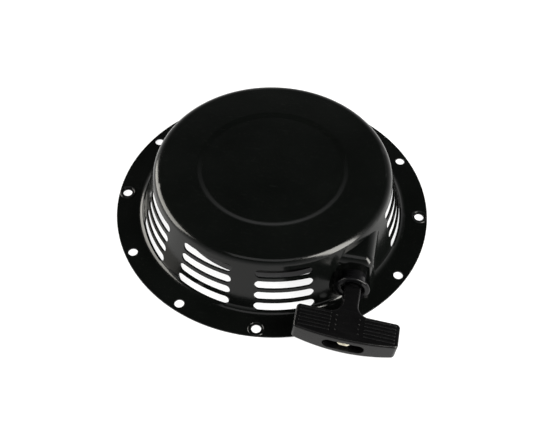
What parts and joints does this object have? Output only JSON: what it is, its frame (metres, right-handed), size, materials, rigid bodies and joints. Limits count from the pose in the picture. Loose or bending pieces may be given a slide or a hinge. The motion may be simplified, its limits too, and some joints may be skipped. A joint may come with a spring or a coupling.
{
  "type": "recoil starter",
  "caption": "Round pressed-steel recoil starter with slotted wall, bolt flange, spring-loaded rope reel with pawls, and a T-handle pulled from a side pocket.",
  "frame": {"origin": "centre of the mounting flange's underside, on the reel axis", "axes": "+Z along the reel axis towards the closed top; the rope is pulled out along -Y"},
  "size_m": [0.29, 0.2974, 0.0545],
  "materials": {
    "housing_paint": "gloss black paint on pressed steel",
    "grip_plastic": "moulded black plastic, satin",
    "guide_plastic": "gloss black",
    "reel_plastic": "glass-filled nylon",
    "rope": "braided nylon",
    "steel": "plain turned or pressed steel",
    "pawl_steel": "hardened steel, dark",
    "spring_steel": "blued spring steel",
    "zinc": "zinc plated",
    "bronze": "sintered bronze"
  },
  "bodies": {
    "housing": {"housing_cover": "housing_paint", "centre_post": "steel", "rope_guide": "guide_plastic", "rope_guide_clip": "steel", "centre_screw": "zinc", "centre_washer": "zinc", "thrust_washer": "steel"},
    "reel_unit": {"reel": "reel_plastic", "reel_skirt": "reel_plastic", "reel_bush": "bronze", "wound_rope": "rope", "reel_knot": "rope", "spring_can": "steel", "spring_lid": "steel", "recoil_spring": "spring_steel", "spring_anchor_pin": "steel", "can_screws": "zinc", "pawl_pins": "steel", "pawl_springs": "spring_steel"},
    "guide": {"guide_plate": "zinc", "friction_spring": "spring_steel"},
    "swing_pawl_a": {"pawl_a": "pawl_steel"},
    "swing_pawl_b": {"pawl_b": "pawl_steel"},
    "rope_end": {"rope_lead": "rope"},
    "grip": {"handle_grip": "grip_plastic", "handle_washer": "zinc", "handle_knot": "rope"}
  },
  "joints": [
    {"name": "handle_pull", "type": "slide", "parent": "housing", "child": "rope_end", "axis": [0, -1, 0], "range_m": [0, 1.2], "stiffness_N_per_m": 15, "springref_m": -1.3},
    {"name": "handle_twist", "type": "hinge", "parent": "rope_end", "child": "grip", "pos_m": [0.0867, -0.11, 0.022], "axis": [0, -1, 0], "range_deg": [-80, 15]},
    {"name": "reel_spin", "type": "hinge", "parent": "housing", "child": "reel_unit", "pos_m": [0, 0, 0.022], "axis": [0, 0, 1], "range_deg": [-865, 0], "deforming": ["recoil_spring"]},
    {"name": "plate_turn", "type": "hinge", "parent": "reel_unit", "child": "guide", "pos_m": [0, 0, 0.0093], "axis": [0, 0, 1], "range_deg": [0, 22], "stiffness_Nm_per_rad": 0.02, "springref_deg": -17.19},
    {"name": "pawl_a_swing", "type": "hinge", "parent": "reel_unit", "child": "swing_pawl_a", "pos_m": [0.03, 0, 0.0128], "axis": [0, 0, 1], "range_deg": [0, 28.1]},
    {"name": "pawl_b_swing", "type": "hinge", "parent": "reel_unit", "child": "swing_pawl_b", "pos_m": [-0.03, 0, 0.0128], "axis": [0, 0, 1], "range_deg": [0, 28.1]}
  ],
  "couplings": [
    {"joint": "reel_spin", "follows": "handle_pull", "rad_per_m": -12.57},
    {"joint": "pawl_a_swing", "follows": "plate_turn", "ratio": 1.2727},
    {"joint": "pawl_b_swing", "follows": "plate_turn", "ratio": 1.2727}
  ]
}
